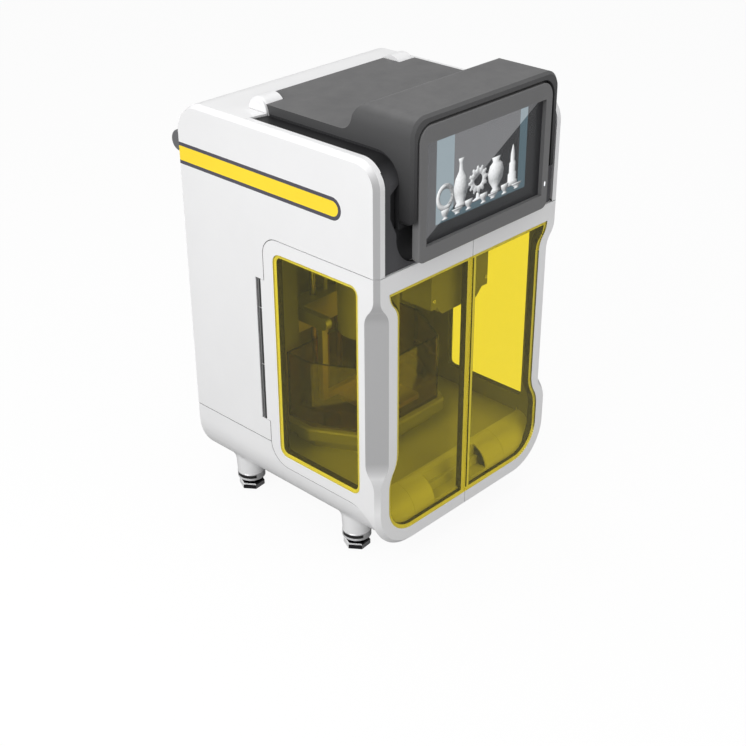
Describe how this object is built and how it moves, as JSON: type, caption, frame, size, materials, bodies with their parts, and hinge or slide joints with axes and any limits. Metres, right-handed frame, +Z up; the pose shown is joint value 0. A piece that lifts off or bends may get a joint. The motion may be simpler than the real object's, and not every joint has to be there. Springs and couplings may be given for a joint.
{
  "type": "ceramic three-d printer",
  "caption": "Bench-top top-down light-curing ceramic printer: white cabinet, amber wraparound doors, hinged hood with a screen, slurry vat and dipping platform.",
  "frame": {"origin": "on the floor under the centre of the whole machine, handle and screen included", "axes": "+X to the machine's right as seen from the front, +Y to its rear, +Z up"},
  "size_m": [0.5, 0.598, 0.895],
  "materials": {
    "white_shell": "satin paint",
    "pale_grey_plastic": "fine texture",
    "yellow_inlay": "satin",
    "dark_inlay": "satin",
    "dark_grip": "fine texture",
    "amber_pane": "clear tinted sheet that blocks blue light",
    "black_rubber": "matte",
    "black_steel": "black oxide",
    "bright_steel": "ground",
    "hood_grey": "fine texture",
    "bezel_grey": "fine texture",
    "screen_glass": "polished",
    "screen_picture": "lit display",
    "light_pipe": "milky",
    "chamber_metal": "powder coat",
    "inner_dark": "fine texture",
    "chamber_plastic": "fine texture",
    "smoky_acrylic": "clear brown sheet",
    "cast_aluminium": "bead blasted",
    "circuit_board": "solder mask",
    "black_plastic": "moulded",
    "foot_black": "black oxide",
    "foot_chrome": "bright"
  },
  "bodies": {
    "cabinet": {"lower_shell": "white_shell", "side_panel_left": "white_shell", "side_panel_right": "white_shell", "rear_cover": "white_shell", "tail_channel": "pale_grey_plastic", "stripes": "yellow_inlay", "stripe_borders": "dark_inlay", "rear_handle": "dark_grip", "handle_posts": "dark_grip", "hinge_brackets": "black_steel", "hinge_pins": "bright_steel", "hood_pins": "bright_steel", "mid_frame": "chamber_metal", "deck": "inner_dark", "deck_hatch": "inner_dark", "trench": "inner_dark", "front_liner": "inner_dark", "chamber_floor": "chamber_metal", "chamber_back": "chamber_metal", "sill": "chamber_plastic", "sill_cover": "chamber_plastic", "vat_base": "chamber_plastic", "vat": "smoky_acrylic", "light_box": "chamber_metal", "button_screws": "bright_steel", "lens_shroud": "chamber_metal", "projection_lens": "black_steel", "projector": "cast_aluminium", "z_brackets": "cast_aluminium", "z_rods": "bright_steel", "z_motor": "black_steel", "power_supply": "cast_aluminium", "control_board": "circuit_board", "fan_frame": "black_plastic", "power_inlet": "black_plastic", "power_switch": "black_plastic", "foot_nuts": "black_steel", "foot_collars": "foot_chrome"},
    "left_door": {"door_frame_left": "white_shell", "front_pane_left": "amber_pane", "side_pane_left": "amber_pane"},
    "right_door": {"door_frame_right": "white_shell", "front_pane_right": "amber_pane", "side_pane_right": "amber_pane", "centre_seal": "black_rubber"},
    "hood": {"hood": "hood_grey", "bezel": "bezel_grey", "screen_glass": "screen_glass", "screen_panel": "screen_picture", "status_light": "light_pipe"},
    "platform": {"carriage": "cast_aluminium", "platform_arm": "cast_aluminium", "platform": "cast_aluminium"},
    "screw": {"lead_screw": "bright_steel"},
    "fan": {"fan_rotor": "black_plastic"},
    "rocker": {"switch_rocker": "black_plastic"},
    "foot_1": {"foot_front_left": "foot_black"},
    "foot_2": {"foot_front_right": "foot_black"},
    "foot_3": {"foot_rear_left": "foot_black"},
    "foot_4": {"foot_rear_right": "foot_black"}
  },
  "joints": [
    {"name": "left_door_hinge", "type": "hinge", "parent": "cabinet", "child": "left_door", "pos_m": [-0.244, 0.027, 0.387], "axis": [0, 0, -1], "range_deg": [0, 90]},
    {"name": "right_door_hinge", "type": "hinge", "parent": "cabinet", "child": "right_door", "pos_m": [0.244, 0.027, 0.387], "axis": [0, 0, 1], "range_deg": [0, 90]},
    {"name": "hood_hinge", "type": "hinge", "parent": "cabinet", "child": "hood", "pos_m": [0, 0.07, 0.827], "axis": [-1, 0, 0], "range_deg": [0, 65]},
    {"name": "platform_lift", "type": "slide", "parent": "cabinet", "child": "platform", "axis": [0, 0, 1], "range_m": [0, 0.1]},
    {"name": "lead_screw_spin", "type": "hinge", "parent": "cabinet", "child": "screw", "pos_m": [0, 0.108, 0.4], "axis": [0, 0, 1], "range_deg": [0, 3600]},
    {"name": "fan_spin", "type": "hinge", "parent": "cabinet", "child": "fan", "pos_m": [0.13, 0.213, 0.47], "axis": [0, 1, 0], "continuous": true},
    {"name": "power_rocker", "type": "hinge", "parent": "cabinet", "child": "rocker", "pos_m": [-0.095, 0.222, 0.25], "axis": [-1, 0, 0], "range_deg": [0, 12]},
    {"name": "foot_front_left_screw", "type": "slide", "parent": "cabinet", "child": "foot_1", "axis": [0, 0, -1], "range_m": [0, 0.012]},
    {"name": "foot_front_right_screw", "type": "slide", "parent": "cabinet", "child": "foot_2", "axis": [0, 0, -1], "range_m": [0, 0.012]},
    {"name": "foot_rear_left_screw", "type": "slide", "parent": "cabinet", "child": "foot_3", "axis": [0, 0, -1], "range_m": [0, 0.012]},
    {"name": "foot_rear_right_screw", "type": "slide", "parent": "cabinet", "child": "foot_4", "axis": [0, 0, -1], "range_m": [0, 0.012]}
  ],
  "couplings": [
    {"joint": "lead_screw_spin", "follows": "platform_lift", "rad_per_m": 628.32}
  ]
}
